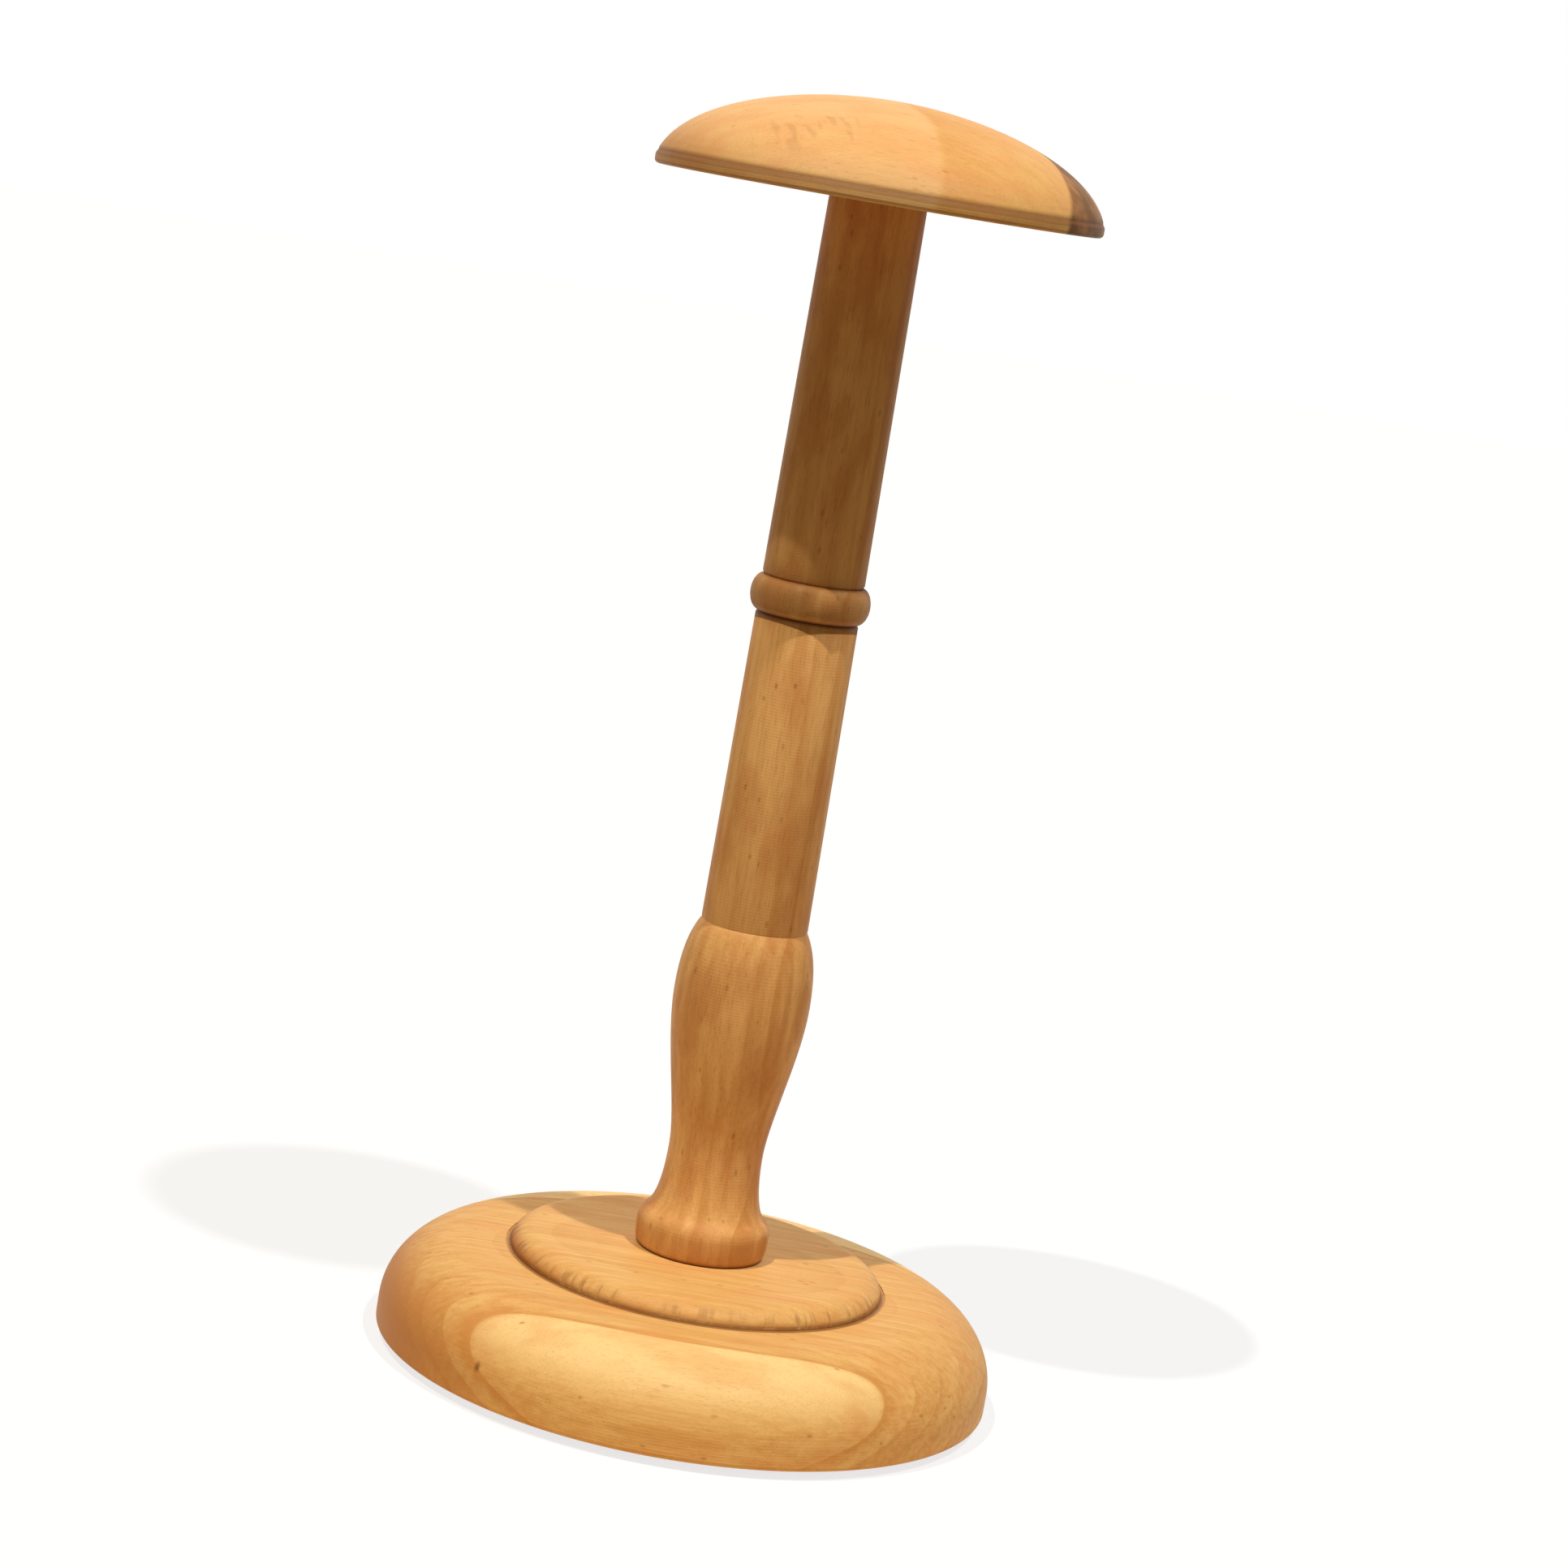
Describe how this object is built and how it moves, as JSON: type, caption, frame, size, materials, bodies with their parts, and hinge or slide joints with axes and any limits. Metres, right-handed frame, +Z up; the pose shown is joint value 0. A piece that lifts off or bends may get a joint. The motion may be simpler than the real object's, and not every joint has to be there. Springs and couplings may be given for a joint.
{
  "type": "hat stand",
  "caption": "Turned pale wood hat stand: round base with a raised pad, baluster foot, tapering column with a ring, and a mushroom dome on top.",
  "frame": {"origin": "centre of the underside, on the plane that the felt pads rest on", "axes": "+Z up along the stem's axis; the grain of the base and the dome runs along X"},
  "size_m": [0.168, 0.168, 0.346],
  "materials": {
    "base_wood": "pale beech under clear satin varnish, grain across the base",
    "stem_wood": "straight-grained beech under clear satin varnish, grain along the stem",
    "dome_wood": "pale beech under clear satin varnish, grain across the dome",
    "zinc_steel": "zinc-plated steel, slightly dull",
    "felt": "pressed grey-brown felt"
  },
  "bodies": {
    "root": {"base": "base_wood", "stem": "stem_wood", "dome": "dome_wood", "base_screw": "zinc_steel", "screw_washer": "zinc_steel", "felt_pad_1": "felt", "felt_pad_2": "felt", "felt_pad_3": "felt", "felt_pad_4": "felt"}
  },
  "joints": []
}
